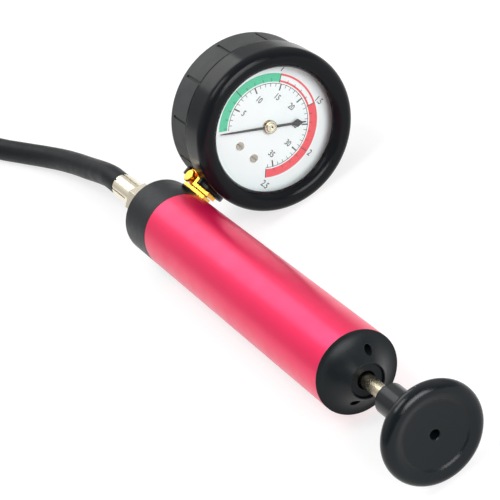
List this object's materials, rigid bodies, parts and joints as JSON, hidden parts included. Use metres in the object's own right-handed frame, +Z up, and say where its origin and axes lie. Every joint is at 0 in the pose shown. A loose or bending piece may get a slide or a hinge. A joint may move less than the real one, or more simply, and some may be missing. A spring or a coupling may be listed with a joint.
{
  "type": "hand pump pressure tester",
  "caption": "Hand pump with a red barrel, mushroom knob, booted dial gauge on a brass tee with a release button, and a rubber hose ending in a quick coupler.",
  "frame": {"origin": "on the floor, under the centre of the pump as it lies, without its hose", "axes": "+X along the barrel to the knob, +Y to the gauge, +Z up"},
  "size_m": [0.7006, 0.1552, 0.0753],
  "materials": {
    "red_anodised": "satin red anodised aluminium",
    "cap_black": "fine-grained black plastic",
    "knob_black": "fine-grained black plastic, worn on the rim",
    "case_black": "satin black paint",
    "rod_steel": "ground steel",
    "lens_glass": "clear acrylic",
    "dial_white": "printed white enamel",
    "pointer_black": "matte black paint",
    "nickel_plate": "nickel plate",
    "boot_rubber": "matte moulded rubber",
    "hose_rubber": "smooth black rubber",
    "seal_rubber": "matte rubber",
    "brass": "machined brass",
    "bright_steel": "bright steel",
    "spring_steel": "drawn wire"
  },
  "bodies": {
    "pump": {"barrel": "red_anodised", "head_cap": "cap_black", "head_o_ring": "seal_rubber", "check_seat": "brass", "check_spring": "spring_steel", "guide_cap": "cap_black", "rod_bush": "brass", "stem_washer": "seal_rubber", "gauge_tee": "brass", "release_bush": "brass", "release_spring": "spring_steel", "gauge_boot": "boot_rubber", "gauge_case": "case_black", "gauge_bezel": "case_black", "lens_gasket": "seal_rubber", "gauge_lens": "lens_glass", "gauge_dial": "dial_white", "dial_screws": "brass", "hairspring": "spring_steel", "bourdon_tube": "brass", "gauge_socket": "brass", "rear_plate": "brass", "front_plate": "brass", "plate_pillars": "brass", "movement_screws": "bright_steel", "case_screws": "bright_steel", "hose_fitting": "nickel_plate", "hose_ferrule": "nickel_plate", "hose_run": "hose_rubber", "hose_coil": "hose_rubber", "hose_tail": "hose_rubber", "hose_tie": "boot_rubber", "end_ferrule": "nickel_plate", "coupler_adaptor": "brass", "coupler_body": "brass", "coupler_spring": "spring_steel", "coupler_balls": "bright_steel", "coupler_clip": "spring_steel", "coupler_seal": "seal_rubber", "coupler_valve_spring": "spring_steel"},
    "plunger": {"piston_rod": "rod_steel", "piston": "cap_black", "piston_washer": "bright_steel", "piston_nut": "bright_steel", "rod_bumper": "seal_rubber", "knob": "knob_black"},
    "piston_seal": {"piston_cup": "seal_rubber"},
    "valve_ball": {"check_ball": "bright_steel"},
    "button": {"release_button": "brass", "release_seal": "seal_rubber"},
    "needle": {"pointer": "pointer_black", "pointer_hub": "brass", "pinion_arbor": "bright_steel"},
    "sector": {"sector_gear": "brass"},
    "link": {"tip_link": "brass"},
    "tip": {"tube_tip": "brass"},
    "sleeve": {"coupler_sleeve": "nickel_plate"},
    "coupler_poppet": {"coupler_valve": "brass"}
  },
  "joints": [
    {"name": "plunger_stroke", "type": "slide", "parent": "pump", "child": "piston_seal", "axis": [0.9999, 0, 0.0139], "range_m": [-0.016, 0.1025]},
    {"name": "plunger_turn", "type": "hinge", "parent": "piston_seal", "child": "plunger", "pos_m": [0.08371, -0.03708, 0.02006], "axis": [0.9999, 0, 0.0139], "continuous": true},
    {"name": "check_lift", "type": "slide", "parent": "pump", "child": "valve_ball", "axis": [-0.9999, 0, -0.0139], "range_m": [0, 0.002], "stiffness_N_per_m": 120, "springref_m": -0.001, "deforming": ["check_spring"]},
    {"name": "release_press", "type": "slide", "parent": "pump", "child": "button", "axis": [0.0131, 0.3247, -0.9457], "range_m": [0, 0.0007], "stiffness_N_per_m": 600, "springref_m": -0.001, "deforming": ["release_spring"]},
    {"name": "pointer_swing", "type": "hinge", "parent": "pump", "child": "needle", "pos_m": [-0.09005, 0.02033, 0.03736], "axis": [-0.9999, 0, -0.0139], "range_deg": [0, 270], "stiffness_Nm_per_rad": 0.00002, "springref_deg": -34.38, "deforming": ["hairspring"]},
    {"name": "sector_swing", "type": "hinge", "parent": "pump", "child": "sector", "pos_m": [-0.08987, 0.01237, 0.02465], "axis": [-0.9999, 0, -0.0139], "range_deg": [-30, 0]},
    {"name": "link_swing", "type": "hinge", "parent": "sector", "child": "link", "pos_m": [-0.0898, 0.00725, 0.01988], "axis": [-0.9999, 0, -0.0139], "range_deg": [0, 30]},
    {"name": "tip_travel", "type": "slide", "parent": "pump", "child": "tip", "axis": [0.0074, 0.8476, -0.5306], "range_m": [0, 0.00362], "stiffness_N_per_m": 500, "springref_m": -0.0006, "deforming": ["bourdon_tube"]},
    {"name": "sleeve_pull", "type": "slide", "parent": "pump", "child": "sleeve", "axis": [0, -1, 0], "range_m": [0, 0.004], "stiffness_N_per_m": 1500, "springref_m": -0.003, "deforming": ["coupler_spring"]},
    {"name": "coupler_valve_push", "type": "slide", "parent": "pump", "child": "coupler_poppet", "axis": [0, -1, 0], "range_m": [0, 0.003], "stiffness_N_per_m": 500, "springref_m": -0.003, "deforming": ["coupler_valve_spring"]}
  ],
  "couplings": [
    {"joint": "pointer_swing", "follows": "tip_travel", "rad_per_m": 1300.5},
    {"joint": "sector_swing", "follows": "tip_travel", "rad_per_m": -144.5},
    {"joint": "link_swing", "follows": "tip_travel", "rad_per_m": 144.5}
  ]
}
